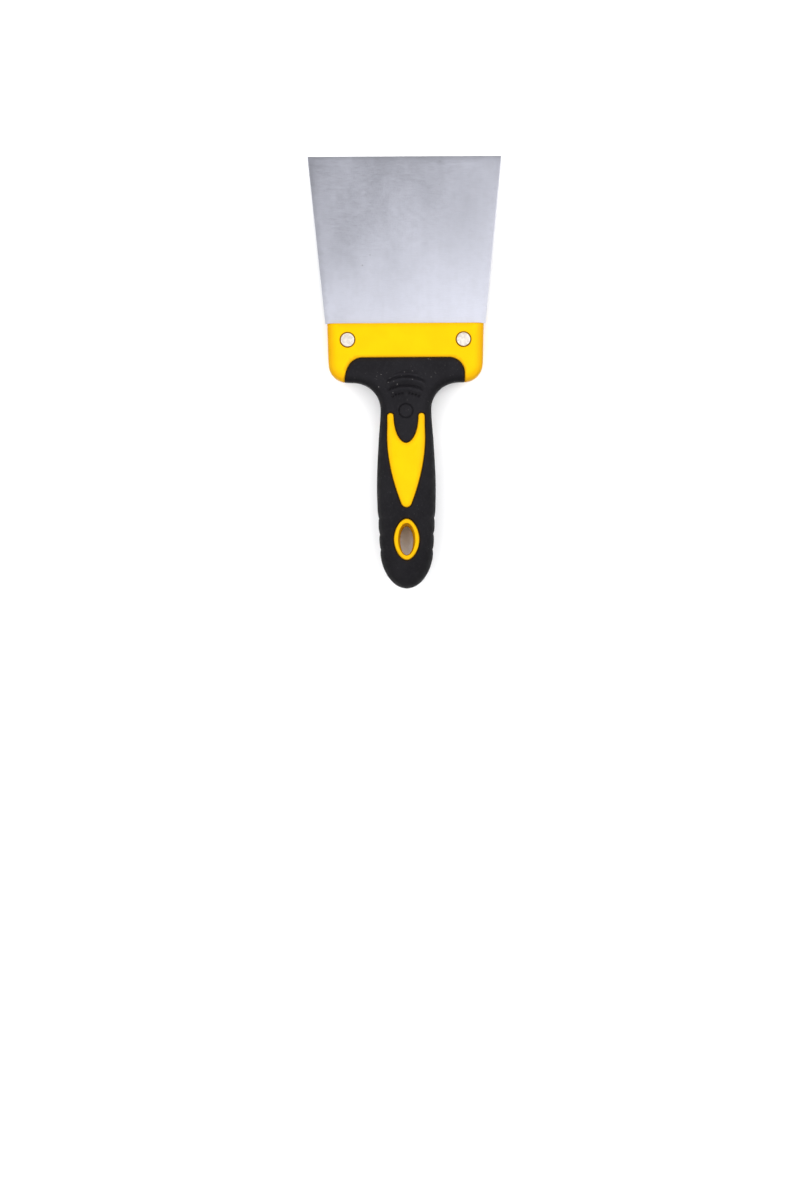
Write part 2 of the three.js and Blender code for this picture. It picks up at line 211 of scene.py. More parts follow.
def arc(centre, radius, start, end, steps):
    """Part of a circle, between two angles in degrees."""
    angle = np.radians(np.linspace(start, end, steps + 1))
    return np.column_stack([centre[0] + radius * np.cos(angle), centre[1] + radius * np.sin(angle)])


def through(points, steps=24):
    """A smooth curve through the points."""
    points = np.array(points, float)
    padded = np.vstack([points[:1], points, points[-1:]])
    t = np.linspace(0, 1, steps, endpoint=False)[:, None]
    spans = []
    for p0, p1, p2, p3 in zip(padded, padded[1:], padded[2:], padded[3:]):
        linear = (p2 - p0) * t
        square = (2 * p0 - 5 * p1 + 4 * p2 - p3) * t ** 2
        cube = (3 * p1 - p0 - 3 * p2 + p3) * t ** 3
        spans.append(p1 + (linear + square + cube) / 2)
    return np.vstack(spans + [points[-1:]])


def bezier(a, b, c, d, steps=40):
    """A cubic curve from a to d that b and c pull on."""
    t = np.linspace(0, 1, steps + 1)[:, None]
    a, b, c, d = map(np.array, (a, b, c, d))
    return a * (1 - t) ** 3 + 3 * b * t * (1 - t) ** 2 + 3 * c * t ** 2 * (1 - t) + d * t ** 3


def resampled(curve, step):
    """The curve with even steps. A curve that ends where it starts keeps both ends."""
    run = np.concatenate([[0], np.cumsum(np.hypot(*np.diff(curve, axis=0).T))])
    places = np.linspace(0, run[-1], max(3, round(run[-1] / step)) + 1)
    return np.column_stack([np.interp(places, run, curve[:, k]) for k in (0, 1)])


def eased(curve, passes=8):
    """The curve with small corners worn off and its ends kept."""
    curve = curve.copy()
    for _ in range(passes):
        curve[1:-1] = (curve[:-2] + 2 * curve[1:-1] + curve[2:]) / 4
    return curve


def flipped(curve):
    """The curve's mirror image, run backwards."""
    return curve[::-1] * [-1, 1]


def shifted(curve, offset):
    """The curve moved sideways, to its left where offset is positive."""
    if np.allclose(curve[0], curve[-1]):
        padded = np.vstack([curve[-2:-1], curve, curve[1:2]])
        slope = padded[2:] - padded[:-2]
    else:
        slope = np.gradient(curve, axis=0)
    slope /= np.hypot(*slope.T)[:, None]
    return curve + offset * np.column_stack([-slope[:, 1], slope[:, 0]])


def distance(points, curve):
    """From each point to the nearest place on the curve."""
    start, span = curve[:-1], np.diff(curve, axis=0)
    length2 = (span ** 2).sum(1)
    found = []
    for some in np.array_split(points, len(points) // 2000 + 1):
        to = some[:, None] - start
        t = np.clip((to * span).sum(2) / length2, 0, 1)
        found.append(np.sqrt(((to - t[..., None] * span) ** 2).sum(2).min(1)))
    return np.concatenate(found)


def inside(points, loop):
    """Which points lie within a closed outline."""
    x, y = points.T
    hit = np.zeros(len(points), bool)
    for (ax, ay), (bx, by) in zip(loop, np.roll(loop, -1, 0)):
        if ay != by:
            hit ^= ((ay > y) != (by > y)) & (x < (bx - ax) * (y - ay) / (by - ay) + ax)
    return hit


def smooth(value, low, high):
    """0 below low, 1 above high and an eased step between."""
    t = np.clip((value - low) / (high - low), 0, 1)
    return t * t * (3 - 2 * t)


# ---------------------------------------------------------------- the outlines

def body_side():
    """The right-hand edge of the head and the handle, from the head's top to the end of the butt."""
    corner = (HEAD_FOOT / 2 - HEAD_CORNER, HEAD_CORNER - HEAD_DEPTH)
    quarter = np.radians(np.linspace(0, 90, 40))
    butt = np.column_stack([BUTT_HALF * np.cos(quarter),
                            BUTT_START - (BUTT_START - BUTT_END) * np.sin(quarter)])
    sides = np.vstack([
        [[HEAD_WIDTH / 2, 0]],
        arc(corner, HEAD_CORNER, 0, -90, 24),
        arc((NECK + FILLET, -HEAD_DEPTH - FILLET), FILLET, 90, 180, 30),
        through(HANDLE_SIDE)[1:],
        butt[1:],
    ])
    sides = eased(resampled(sides, 0.7))
    sides[-1, 0] = 0
    return sides


def v_outline():
    """The yellow V: two round horns, a notch between them and a round foot."""
    horn_outer, horn_inner = HORN_X + HORN_RADIUS, HORN_X - HORN_RADIUS
    foot = arc((0, FOOT_Y), FOOT_RADIUS, -FOOT_SLANT, -90, 20)
    right = np.vstack([
        bezier((0, NOTCH_BOTTOM), (2.5, NOTCH_BOTTOM), (6.2, -58.3), (horn_inner, HORN_Y)),
        arc((HORN_X, HORN_Y), HORN_RADIUS, 180, 0, 20)[1:],
        bezier((horn_outer, -54), (horn_outer + 0.25, -59), (10.5, -73), foot[0]),
        foot[1:],
    ])
    return resampled(np.vstack([right, flipped(right)[1:]]), 0.42)


def oval(half_width, half_length, power, steps=130):
    """A superellipse round the hang hole's middle."""
    angle = np.radians(np.linspace(0, -360, 721))
    x = half_width * np.sign(np.cos(angle)) * np.abs(np.cos(angle)) ** (2 / power)
    y = EYE_CENTRE + half_length * np.sign(np.sin(angle)) * np.abs(np.sin(angle)) ** (2 / power)
    loop = np.column_stack([x, y])
    loop = resampled(loop, np.hypot(*np.diff(loop, axis=0).T).sum() / steps)
    loop[-1] = loop[0]
    return loop


def seam_outline(grow):
    """The grip's edge on the head, run on below it."""
    half, corner, top = GRIP_HALF_WIDTH + grow, GRIP_CORNER + grow, GRIP_TOP + grow
    right = np.vstack([
        [[0, top]],
        arc((half - corner, top - corner), corner, 90, 0, 30),
        [[half, -60]],
    ])
    right = resampled(right, 0.5)
    left = flipped(right)[:-1]
    left[:, 0] -= SEAM_TOE * smooth(-left[:, 1], -GRIP_TOP + 4, HEAD_DEPTH)
    return np.vstack([left, right])


def seam_loop(grow):
    """The seam's outline closed below the tool."""
    x, y = BELOW
    return np.vstack([seam_outline(grow), [[x, y], [-x, y]]])


SIDE = body_side()
BODY_LOOP = np.vstack([SIDE, flipped(SIDE)[1:]])
V_LOOP = v_outline()
EYE_LOOP = oval(*EYE_OUTER)
WINDOWS = [shifted(V_LOOP, WINDOW_GAP), shifted(EYE_LOOP, WINDOW_GAP)]
SEAM = seam_outline(0)
CROWN_CURVE = through(CROWN)[::-1]


# ---------------------------------------------------------------- heights over the mid-plane

def roll(depth, radius):
    """How far a rounded edge has dropped at a distance from it."""
    share = np.clip(1 - depth / radius, 0, 1)
    return radius * (1 - np.sqrt(1 - share ** 2))


def mirror_x(points):
    """The points brought over to the right half."""
    return np.column_stack([np.abs(points[:, 0]), points[:, 1]])


def skin(points, rise=0.0):
    """Height of the body's outer surface. rise lifts the grip's over the head's."""
    x, y = mirror_x(points).T
    depth = distance(mirror_x(points), SIDE)
    on_head = 1 - smooth(-y, HEAD_DEPTH, HEAD_DEPTH + FILLET)
    away = smooth(x, *FLAT_SIDES) * on_head
    crown = np.interp(y, *CROWN_CURVE.T)
    if rise == 0:
        away = np.ones_like(x)
    full = crown + (HEAD_HALF + rise - crown) * away
    reach = HEAD_ROUND + (HANDLE_ROUND - HEAD_ROUND) * smooth(-y, *TO_HANDLE)
    wall = HEAD_WALL * (1 - smooth(-y, *WALL_END))
    share = np.clip(1 - depth / reach, 0, 1)
    return wall + (full - wall) * (1 - share ** ROUNDNESS) ** (1 / ROUNDNESS)


def groove(offset, depth, width):
    """A round-bottomed groove's depth at an offset from its middle."""
    return depth * np.exp(-(offset / width) ** 2)


def rib_arcs(points):
    """For each thumb rib: how far the points are outside its arc, its share there and its depth."""
    x, y = points.T
    for top, half_angle, depth in RIBS:
        down = y - (top - RIB_RADIUS)
        angle = np.degrees(np.arctan2(np.abs(x), down))
        share = 1 - smooth(angle, half_angle - RIB_FADE, half_angle)
        yield np.hypot(x, down) - RIB_RADIUS, share, depth


def rib_relief(points):
    """The thumb ribs: broad steps, each with a groove along its upper edge."""
    lift = np.zeros(len(points))
    for off, share, depth in rib_arcs(points):
        lift -= share * groove(off, depth, RIB_GROOVE)
        step = smooth(-off, 0.3, 1.1) * (1 - smooth(-off, 1.1, 4.0))
        lift += share * depth * 0.6 * step
    return lift


def from_button(points):
    return np.hypot(points[:, 0], points[:, 1] - BUTTON_CENTRE)


def button_relief(points):
    """The round button: a low pad with a nub in its middle and a groove round it."""
    radius = from_button(points)
    pad = BUTTON_RISE * (1 - smooth(radius, BUTTON_RADIUS - 0.7, BUTTON_RADIUS - 0.1))
    nub = NUB_RISE * (1 - smooth(radius, 0.25, 0.9))
    return pad + nub - groove(radius - BUTTON_RADIUS, *BUTTON_GROOVE)


def dimple_relief(points):
    """Small dimples in an arc over the button."""
    lift = np.zeros(len(points))
    for x, y in DIMPLES:
        lift -= DIMPLE_DEPTH * (1 - smooth(np.hypot(points[:, 0] - x, points[:, 1] - y), *DIMPLE_EDGE))
    return lift


def grip_height(points):
    """The plain grip, rounded off along the seam and round its windows."""
    bare = skin(points, GRIP_RISE)
    lip = roll(distance(points, SEAM), SEAM_LIP) * (points[:, 1] > HEAD_LIMIT)
    rims = sum(roll(distance(points, window), WINDOW_LIP) for window in WINDOWS)
    return np.maximum(bare - lip - rims, 0)


def grip_front(points):
    """The grip's front, with the ribs, the button and the dimples."""
    return grip_height(points) + rib_relief(points) + button_relief(points) + dimple_relief(points)


def head_face(points, seat, bore):
    """The head's front, with its counterbores and the ledge at the foot of its groove."""
    ledge = np.maximum(skin(points) - LEDGE_DEPTH, LEDGE_LEAST)
    surface = skin(points) - roll(-points[:, 1], HEAD_TOP_ROUND)
    surface -= roll(distance(points, seam_outline(SEAM_GAP)), 0.3)
    surface = np.where(inside(points, seam_loop(SEAM_GAP - LEDGE[0] / 2)), ledge, surface)
    from_rivet = np.hypot(np.abs(points[:, 0]) - RIVET_X, points[:, 1] - RIVET_Y)
    surface -= roll(np.abs(from_rivet - bore), 0.2)
    return np.where(from_rivet < bore - 0.005, seat, surface)


def v_height(points):
    """The V's face, a little proud of the rubber, and the ledge round its foot."""
    top = skin(points, GRIP_RISE)
    face = top + V_PROUD - roll(distance(points, V_LOOP), V_ROUND)
    return np.where(inside(points, shifted(V_LOOP, LEDGE[0] / 2)), face, top - LEDGE_DEPTH)


def blade_height(points):
    """Half the blade's thickness: flat, then a long taper grind, then the bevel."""
    places = [GRIND_START, BLADE_REACH - BEVEL_HEIGHT, BLADE_REACH]
    half = np.interp(points[:, 1], places, [BLADE_HALF, GROUND_HALF, EDGE_HALF])
    return half - 0.4 * roll(blade_inset(points), 0.35)


def blade_inset(points):
    """How far each point is from the blade's nearer side."""
    half_width = np.interp(points[:, 1], [0, BLADE_REACH], [SHOULDER_WIDTH / 2, EDGE_WIDTH / 2])
    return half_width - np.abs(points[:, 0])


# ---------------------------------------------------------------- meshes

def lattice(loop_box, spacing):
    """Points in a triangular pattern over a box."""
    (x0, y0), (x1, y1) = loop_box
    rows = []
    for k, y in enumerate(np.arange(y0 + spacing / 2, y1, spacing * math.sqrt(3) / 2)):
        x = np.arange(x0 + spacing / 2 * (k % 2), x1, spacing)
        rows.append(np.column_stack([x, np.full(len(x), y)]))
    return np.vstack(rows)


def region(curves, spacing, keep):
    """Triangles over a flat region, which follow every curve. keep says which points are in the region."""
    points, edges = [], []
    for curve in curves:
        first = len(points)
        closed = np.allclose(curve[0], curve[-1])
        points += list(curve[:-1] if closed else curve)
        last = len(points) - 1
        edges += [(i, i + 1) for i in range(first, last)]
        if closed:
            edges.append((last, first))
    flat = np.array(points)
    near = KDTree(len(flat))
    for i, (x, y) in enumerate(flat):
        near.insert((x, y, 0), i)
    near.balance()
    fill = lattice((flat.min(0), flat.max(0)), spacing)
    fill = fill[keep(fill)]
    clear = [near.find((x, y, 0))[2] > spacing * 0.55 for x, y in fill]
    points += list(fill[clear])
    found, _, faces, *_ = delaunay_2d_cdt([Vector(p) for p in points], edges, [], 0, 1e-4)
    found, faces = np.array(found), np.array(faces)
    a, b, c = (found[faces[:, k]] for k in range(3))
    area = (b[:, 0] - a[:, 0]) * (c[:, 1] - a[:, 1]) - (b[:, 1] - a[:, 1]) * (c[:, 0] - a[:, 0])
    faces[area < 0] = faces[area < 0][:, ::-1]
    faces = faces[(np.abs(area) > 1e-7) & keep((a + b + c) / 3)]
    used, renamed = np.unique(faces, return_inverse=True)
    return found[used], renamed.reshape(faces.shape)


def slab(flat, front, back):
    """A closed body over a flat region: its front and back surfaces and the walls between them."""
    points, faces = flat
    count = len(points)
    high, low = front(points), -back(points)
    vertices = np.vstack([np.column_stack([points, high]), np.column_stack([points, low])])
    directed = {(a, b) for face in faces.tolist() for a, b in zip(face, face[1:] + face[:1])}
    walls = [(b, a, a + count, b + count) for a, b in sorted(directed) if (b, a) not in directed]
    return vertices, faces.tolist() + (faces[:, ::-1] + count).tolist() + walls


def join(*bodies):
    """Several bodies as one mesh."""
    vertices, faces, start = [], [], 0
    for points, polygons in bodies:
        vertices.append(points)
        faces += [tuple(i + start for i in polygon) for polygon in polygons]
        start += len(points)
    return np.vstack(vertices), faces


def quads(rows, count, closed=False):
    """Faces between rows of points that go round. A closed body's last row also meets its first."""
    faces = []
    for row in range(rows if closed else rows - 1):
        below = (row + 1) % rows
        for i in range(count):
            j = (i + 1) % count
            faces.append((row * count + i, row * count + j, below * count + j, below * count + i))
    return faces


def revolved(profile, place, steps=96):
    """A closed body turned from (radius, z) points that start and end on the axis or close on themselves."""
    angle = np.linspace(0, 2 * math.pi, steps, endpoint=False)
    radius, z = np.array(profile).T
    ring = np.column_stack([np.cos(angle), np.sin(angle)])
    vertices = np.array([(place[0] + r * c, place[1] + r * s, h) for r, h in zip(radius, z) for c, s in ring])
    return vertices, quads(len(profile), steps)


def piece(name, made, material, node, sharp=40, tones=None):
    """A visible piece that stands for a CAD node. tones are shares that its material reads at each point."""
    vertices, faces = made
    mesh = bpy.data.meshes.new(name)
    mesh.from_pydata([TOOL @ Vector(v) for v in vertices], [], faces)
    tidy(mesh)
    count = len(mesh.vertices)
    flat = np.empty(count * 3)
    mesh.vertices.foreach_get("co", flat)
    back = np.array(TOOL.inverted())
    local = flat.reshape(-1, 3) @ back[:3, :3].T + back[:3, 3]
    for label, tone in (tones or {}).items():
        mesh.attributes.new(label, "FLOAT", "POINT").data.foreach_set("value", tone(local))
    corners = np.empty(len(mesh.loops), int)
    mesh.loops.foreach_get("vertex_index", corners)
    mesh.uv_layers.new(name="grain").data.foreach_set("uv", (local[corners, :2] * 0.01).ravel())
    mesh.shade_smooth()
    mesh.set_sharp_from_angle(angle=math.radians(sharp))
    mesh.materials.append(material)
    obj = bpy.data.objects.new(name, mesh)
    bpy.context.scene.collection.objects.link(obj)
    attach(obj, BODY)
    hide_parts(node)
    return obj


def tidy(mesh):
    """Welds points that coincide, drops faces that have no area and turns the faces outwards."""
    work = bmesh.new()
    work.from_mesh(mesh)
    bmesh.ops.remove_doubles(work, verts=work.verts, dist=WELD)
    bmesh.ops.dissolve_degenerate(work, edges=work.edges, dist=WELD / 2)
    bmesh.ops.recalc_face_normals(work, faces=work.faces)
    work.to_mesh(mesh)
    work.free()


# ---------------------------------------------------------------- the pieces' shapes

# How far from an edge or a line the meshes have lines of their own, so that its rounding is smooth
SIDE_RINGS = [0.012, 0.05, 0.16, 0.36, 0.65, 1.05, 1.55, 2.15, 2.9, 3.8, 4.9]
LIP_RINGS = [0.03, 0.09, 0.18, 0.3, 0.45, 0.75]
TOP_RINGS = [0.04, 0.12, 0.25, 0.45]
SEAM_RINGS = [0.04, 0.12, 0.3]
V_RINGS = [0.03, 0.1, 0.22, 0.38, 0.55, 0.85]
BLADE_RINGS = [0.03, 0.08, 0.18, 0.35]
BORE_RINGS = [-0.01, 0, 0.04, 0.1, 0.2]
SEAT_RING = 1.5
BUTTON_RINGS = [0.25, 0.5, 0.75, 1.0, 2.8, 3.1, 3.35, 3.6, 3.85, 4.1, 4.4]
DIMPLE_RINGS = [0.2, 0.4, 0.62, 0.84]
SCALLOP_ROWS = [-1.9, -1.2, -0.7, -0.35, -0.12, 0.12, 0.35, 0.7, 1.2, 1.9]
SCALLOP_REACH = 7.5
RIB_ROWS = [-2.4, -1.7, -1.15, -0.8, -0.5, -0.25, 0, 0.25, 0.5, 0.8, 1.2]
# Spacing of the points in between
GRIP_SPACING = 1.0
HEAD_SPACING = 1.6
V_SPACING = 0.9
BLADE_SPACING = 2.4


def rings(curve, offsets, side):
    """The curve and its parallels on one side: +1 to its left, -1 to its right."""
    return [curve] + [shifted(curve, side * offset) for offset in offsets]


def foot_curve():
    """The body's edge from the foot of the head, round the handle, to the foot on the other side."""
    start, meet = 36.0, 34.0  # across: where it starts, straight, and where the side takes over
    right = SIDE[(SIDE[:, 1] < -HEAD_DEPTH + 0.4)]
    right = np.vstack([[[start, -HEAD_DEPTH]], right[right[:, 0] < meet]])
    right = resampled(right, 0.7)
    return np.vstack([right, flipped(right)[1:]])


def scallop_lines():
    """Cross lines where the side grooves run, so that the mesh follows them."""
    lines = []
    for y in SCALLOPS:
        for off in SCALLOP_ROWS:
            half = np.interp(-(y + off), -SIDE[:, 1], SIDE[:, 0])
            across = np.linspace(half - SCALLOP_REACH, half, 12)
            line = np.column_stack([across, np.full(len(across), y + off)])
            lines += [line, line * [-1, 1]]
    return lines


def rib_lines():
    """Parallel arcs along the ribs."""
    lines = []
    for top, half_angle, _ in RIBS:
        for off in RIB_ROWS:
            sweep = arc((0, top - RIB_RADIUS), RIB_RADIUS + off, 90 + half_angle, 90 - half_angle, 60)
            lines.append(resampled(sweep, 0.6))
    return lines


def circles(centre, radii):
    """Rings of points about 0.4 mm apart."""
    return [arc(centre, r, 0, 360, max(10, round(2 * math.pi * r / 0.4))) for r in radii]


def grip_region():
    """The grip's outline below the seam, less its two windows."""
    v_window, eye_window = WINDOWS
    curves = rings(foot_curve(), SIDE_RINGS, -1)
    curves += rings(SEAM, LIP_RINGS, -1)
    curves += rings(v_window, LIP_RINGS, 1) + rings(eye_window, LIP_RINGS, 1)
    curves += scallop_lines() + rib_lines()
    curves += circles((0, BUTTON_CENTRE), BUTTON_RINGS)
    for dimple in DIMPLES:
        curves += circles(dimple, DIMPLE_RINGS)
    below_seam = seam_loop(0)

    def keep(points):
        within = inside(points, BODY_LOOP) & inside(points, below_seam)
        return within & ~inside(points, v_window) & ~inside(points, eye_window)

    return region(curves, GRIP_SPACING, keep)


def head_region():
    """The head's outline above the seam, and the ledge that runs in under the grip."""
    seam = seam_outline(SEAM_GAP)
    top = resampled(np.array([[-HEAD_WIDTH / 2, 0.0], [HEAD_WIDTH / 2, 0.0]]), 0.8)
    side = SIDE[SIDE[:, 1] > HEAD_LIMIT]
    side = resampled(side[side[:, 0] > NECK + FILLET], 0.6)
    curves = rings(side, SIDE_RINGS[1:], -1) + rings(flipped(side), SIDE_RINGS[1:], -1)
    curves += rings(top, TOP_RINGS, -1)
    curves += rings(seam, SEAM_RINGS, 1)
    curves += [seam_outline(SEAM_GAP - LEDGE[0]), seam_outline(-LEDGE[0])]
    bores = [bore + off for bore in (COUNTERBORE, REAR_COUNTERBORE) for off in BORE_RINGS]
    for x in (-RIVET_X, RIVET_X):
        curves += circles((x, RIVET_Y), [SEAT_RING] + bores)
    under_grip = seam_loop(-LEDGE[0])

    def keep(points):
        on_head = points[:, 1] > HEAD_LIMIT
        return inside(points, BODY_LOOP) & ~inside(points, under_grip) & on_head

    return region(curves, HEAD_SPACING, keep)


def scalloped(made):
    """The grip with its side grooves pressed in, square to the surface and fading out across the face."""
    vertices, faces = made
    mesh = bpy.data.meshes.new("normals")
    mesh.from_pydata([Vector(v) for v in vertices], [], faces)
    mesh.update()
    normals = np.array([v.normal for v in mesh.vertices])
    bpy.data.meshes.remove(mesh)
    across, y, z = np.abs(vertices[:, 0]), vertices[:, 1], np.abs(vertices[:, 2])
    edge = np.interp(-y, -SIDE[:, 1], SIDE[:, 0])
    fade = 1 - smooth(edge - across, *SCALLOP_FADE)
    press = np.zeros(len(vertices))
    for middle in SCALLOPS:
        from_cusp = np.sqrt((y - middle) ** 2 + 0.15 ** 2)
        press += SCALLOP_DEPTH * np.exp(-from_cusp / SCALLOP_WIDTH)
    outward = normals.copy()
    level = z < 0.02  # on the equator the front and back points meet, so they move straight in
    outward[level] = [1, 0, 0]
    outward[level] *= np.sign(vertices[level, :1])
    return vertices - outward * (press * fade)[:, None], faces


def grip_shape():
    return scalloped(slab(grip_region(), grip_front, grip_height))


def head_shape():
    """The yellow head, counterbored for the rivets in front and for their washers behind."""
    def front(points):
        return head_face(points, FRONT_SEAT, COUNTERBORE)

    def back(points):
        return head_face(points, REAR_SEAT, REAR_COUNTERBORE)

    return slab(head_region(), front, back)


def v_shape():
    """The V, which goes right through and shows on both sides."""
    curves = rings(V_LOOP, V_RINGS, -1)
    foot = [shifted(V_LOOP, offset) for offset in LEDGE]
    flat = region(curves + foot, V_SPACING, lambda points: inside(points, foot[-1]))
    return slab(flat, v_height, v_height)


def eye_shape():
    """The lining of the hang hole: a rounded rim front and back, and a bore that narrows to its middle."""
    outer, inner, throat = map(np.array, (EYE_OUTER, EYE_INNER, EYE_THROAT))
    sections = [(-EYE_FLANGE, 0.0), (-EYE_FLANGE, EYE_LEDGE), (0, EYE_LEDGE)]
    for across in np.linspace(0, 1, 17):
        fall = EYE_CROWN if across < 0.5 else EYE_LIP
        drop = fall * (1 - (1 - abs(2 * across - 1) ** ROUNDNESS) ** (1 / ROUNDNESS))
        sections.append((across, EYE_HALF - drop))
    front = [(outer * (1 - share) + inner * share, z) for share, z in sections]
    for down in np.linspace(0.05, 1, 12):
        front.append((inner * (1 - down) + throat * down, (EYE_HALF - EYE_LIP) * (1 - down)))
    around = front + [(size, -z) for size, z in front[-2:0:-1]]
    loops = [oval(*size)[:-1] for size, _ in around]
    count = len(loops[0])
    vertices = np.vstack([np.column_stack([loop, np.full(count, z)]) for loop, (_, z) in zip(loops, around)])
    return vertices, quads(len(loops), count, closed=True)


def blade_shape():
    """The blade with its tang, which stays hidden in the head's slot."""
    step = 1.5
    tang, shoulder, edge = TANG_HALF_WIDTH, SHOULDER_WIDTH / 2, EDGE_WIDTH / 2
    right = [(tang, -TANG_DEPTH), (tang, SHOULDER_Y), (shoulder, SHOULDER_Y), (edge, BLADE_REACH)]
    left = [(-x, y) for x, y in right[::-1]]
    outline = np.array(left[-1:] + right + left)
    sides = [resampled(np.array(ends), step)[:-1] for ends in zip(outline, outline[1:])]
    loop = np.vstack(sides + [outline[:1]])
    curves = [loop]
    for off in BLADE_RINGS:
        line = resampled(np.array([[shoulder - off, SHOULDER_Y], [edge - off, BLADE_REACH]]), step)
        curves += [line, line * [-1, 1]]
    for y in (GRIND_START, BLADE_REACH - BEVEL_HEIGHT):
        curves.append(resampled(np.array([[-edge - 2, y], [edge + 2, y]]), step))
    flat = region(curves, BLADE_SPACING, lambda points: inside(points, loop))
    return slab(flat, blade_height, blade_height)


def bend(r, z, radius, degrees):
    """A round stretch of a (radius, z) profile."""
    return [(r + radius * math.cos(a), z + radius * math.sin(a)) for a in np.radians(degrees)]


def rivet_shape(x):
    """A semi-tubular rivet: a flat head in front, a hollow rolled end on the washer behind."""
    foot = FRONT_SEAT + FIT_GAP
    top = foot + RIVET_HEAD
    dome = [(r, top + RIVET_DOME * (1 - (r / RIVET_RADIUS) ** 2))
            for r in np.linspace(0, RIVET_RADIUS - RIVET_ROUND - 0.05, 12)]
    rim = bend(RIVET_RADIUS - RIVET_ROUND, top - RIVET_ROUND, RIVET_ROUND, range(82, 9, -12))
    seat = -REAR_SEAT - FIT_GAP - WASHER_THICK - FIT_GAP
    flare = bend(ROLLED_OUT, seat - ROLLED_RADIUS, ROLLED_RADIUS, range(90, -91, -15))
    curl = bend(ROLLED_IN, seat - ROLLED_RADIUS - 0.04, ROLLED_RADIUS, range(-90, -181, -15))
    shank = [(RIVET_RADIUS, foot), (SHANK_RADIUS, foot), (SHANK_RADIUS, seat)]
    bore = [(SHANK_BORE, seat + 0.2), (SHANK_BORE, seat + BORE_DEPTH), (0, seat + BORE_DEPTH + 0.4)]
    return revolved(dome + rim + shank + flare + curl + bore, (x, RIVET_Y))


def washer_shape(x):
    """A washer with a worn outer edge, in the rear counterbore."""
    top = -REAR_SEAT - FIT_GAP
    edge = [(WASHER_OUTER - inset, top - drop) for inset, drop in WASHER_EDGE]
    foot = [(WASHER_INNER + 0.1, top - WASHER_THICK), (WASHER_INNER, top - WASHER_THICK + 0.1)]
    profile = [(WASHER_INNER, top)] + edge + foot + [(WASHER_INNER, top)]
    return revolved(profile[::-1], (x, RIVET_Y))


def core_edge_painted_shade(local):
    """How near each point of the core is to a rounded edge, which sets the painted shade there."""
    points = local[:, :2]
    near_side = 1 - smooth(distance(mirror_x(points), SIDE), -2.0, 5.5)
    near_side *= points[:, 1] > -HEAD_DEPTH - 1
    near_v = 1 - smooth(distance(points, V_LOOP), -0.6, 2.6)
    return np.maximum(near_side, near_v * 0.5)


def core_painted_shade(local):
    """Painted shade on the core, where its finish is also made rougher: round the rivets, along its edges and
    down the hang hole.
    """
    points = local[:, :2]
    from_rivet = np.hypot(np.abs(points[:, 0]) - RIVET_X, points[:, 1] - RIVET_Y)
    near_rivet = 1 - smooth(from_rivet - COUNTERBORE, -0.05, 0.35)
    near_seam = 0.7 * (1 - smooth(distance(points, seam_outline(SEAM_GAP)), 0.1, 0.9))
    on_v = inside(points, shifted(V_LOOP, LEDGE[0] / 2))
    by_v = inside(points, shifted(V_LOOP, 2 * LEDGE[1]))
    near_v = np.where(on_v, 0.3 * (1 - smooth(distance(points, V_LOOP), 0.0, 0.6)), by_v)
    near_top = 0.4 * (1 - smooth(-points[:, 1], 0.1, 0.9))
    depth = EYE_HALF - np.abs(local[:, 2])
    ring = 0.2 + 0.35 * (1 - smooth(distance(points, EYE_LOOP), 0.0, 0.8)) + 0.6 * smooth(depth, 0.3, 1.4)
    ring *= 1 - 0.6 * smooth(depth, 3.0, 7.0)
    in_ring = inside(points, shifted(EYE_LOOP, 2 * WINDOW_GAP))
    return np.where(in_ring, ring, np.max([near_rivet, near_seam, near_v, near_top], axis=0))


def blade_edge(local):
    """1 on the sheared sides and along the cutting edge."""
    side = 1 - smooth(blade_inset(local[:, :2]), 0.1, 0.7)
    return np.maximum(side, smooth(local[:, 1], BLADE_REACH - 1.0, BLADE_REACH - 0.2))


def grip_painted_light(local):
    """Painted light on the rubber: painted shade on its sides, towards the butt, in bands between the ribs,
    in the groove round the button and in the dimples, and painted highlights along the ribs' upper edges and
    on the button's middle.
    """
    points = local[:, :2]
    level = 0.55 + 0.15 * smooth(points[:, 1], -125, -50)
    level *= 0.4 + 0.6 * smooth(distance(mirror_x(points), SIDE), 0.0, 4.5)
    # The relief's painted highlights and painted shade
    worn = np.zeros(len(points))
    for off, share, depth in rib_arcs(points):
        worn += share * depth * (0.45 * groove(off + 1.35, 1, 0.6) - 0.22 * groove(off + 3.0, 1, 0.9))
    radius = from_button(points)
    worn += 0.5 * groove(radius, 1, 0.7) + 0.15 * groove(radius - 2.4, 1, 0.5)
    worn -= 0.3 * groove(radius - BUTTON_RADIUS, 1, 0.4)
    worn += 0.5 * dimple_relief(points)
    return level * (1 + worn * (local[:, 2] > 0))


def grip_dust(local):
    """Where dust gathers on the grip: between the ribs and the button."""
    x, y = local[:, 0], local[:, 1]
    near_ribs = smooth(y, -46, -38) * (1 - smooth(np.abs(x), 12, 20)) * (local[:, 2] > 0)
    return 0.12 + 0.88 * near_ribs


def grip_stain(local):
    """Where the rubber takes a little of the yellow beside it."""
    points = local[:, :2]
    near = np.min([distance(points, V_LOOP), distance(points, EYE_LOOP), distance(points, SEAM)], axis=0)
    return 1 - smooth(near, 0.2, 1.4)


# ---------------------------------------------------------------- materials

